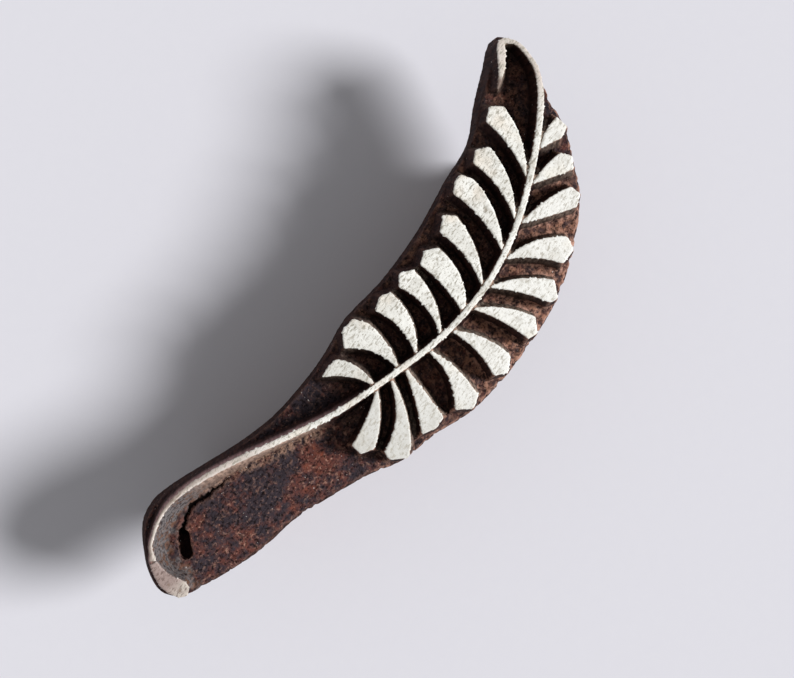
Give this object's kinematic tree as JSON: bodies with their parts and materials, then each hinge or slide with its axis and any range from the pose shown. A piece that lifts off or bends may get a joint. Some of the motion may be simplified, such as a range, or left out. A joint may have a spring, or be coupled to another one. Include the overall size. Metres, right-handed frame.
{
  "type": "wooden textile printing block",
  "caption": "Hand-carved hardwood printing block in the shape of a curved fern leaf, with chalk-white raised faces and a nailed-on grip, pressed by hand to stamp dye on cloth.",
  "frame": {"origin": "middle of the object's box, on the plane of the handle's back, on which the block stands", "axes": "+X from the stem to the leaf tip, +Y to the hollow side of the leaf's curve, +Z out of the printing face"},
  "size_m": [0.127, 0.042, 0.0383],
  "materials": {
    "block_wood": "dark, dye-stained, hand-carved",
    "handle_wood": "worn smooth by the hand",
    "nail_steel": "dull, slightly rusted",
    "chalk_coat": "matt, chalky, worn at the edges"
  },
  "bodies": {
    "root": {"carved_block": "block_wood", "handle": "handle_wood", "handle_nail_1": "nail_steel", "handle_nail_2": "nail_steel", "handle_nail_3": "nail_steel", "rib_coat": "chalk_coat", "stem_pad_coat": "chalk_coat", "left_leaflet_coat_1": "chalk_coat", "left_leaflet_coat_2": "chalk_coat", "left_leaflet_coat_3": "chalk_coat", "left_leaflet_coat_4": "chalk_coat", "left_leaflet_coat_5": "chalk_coat", "left_leaflet_coat_6": "chalk_coat", "left_leaflet_coat_7": "chalk_coat", "left_leaflet_coat_8": "chalk_coat", "left_leaflet_coat_9": "chalk_coat", "right_leaflet_coat_1": "chalk_coat", "right_leaflet_coat_2": "chalk_coat", "right_leaflet_coat_3": "chalk_coat", "right_leaflet_coat_4": "chalk_coat", "right_leaflet_coat_5": "chalk_coat", "right_leaflet_coat_6": "chalk_coat", "right_leaflet_coat_7": "chalk_coat", "right_leaflet_coat_8": "chalk_coat", "right_leaflet_coat_9": "chalk_coat", "right_leaflet_coat_10": "chalk_coat", "right_leaflet_coat_11": "chalk_coat"}
  },
  "joints": []
}
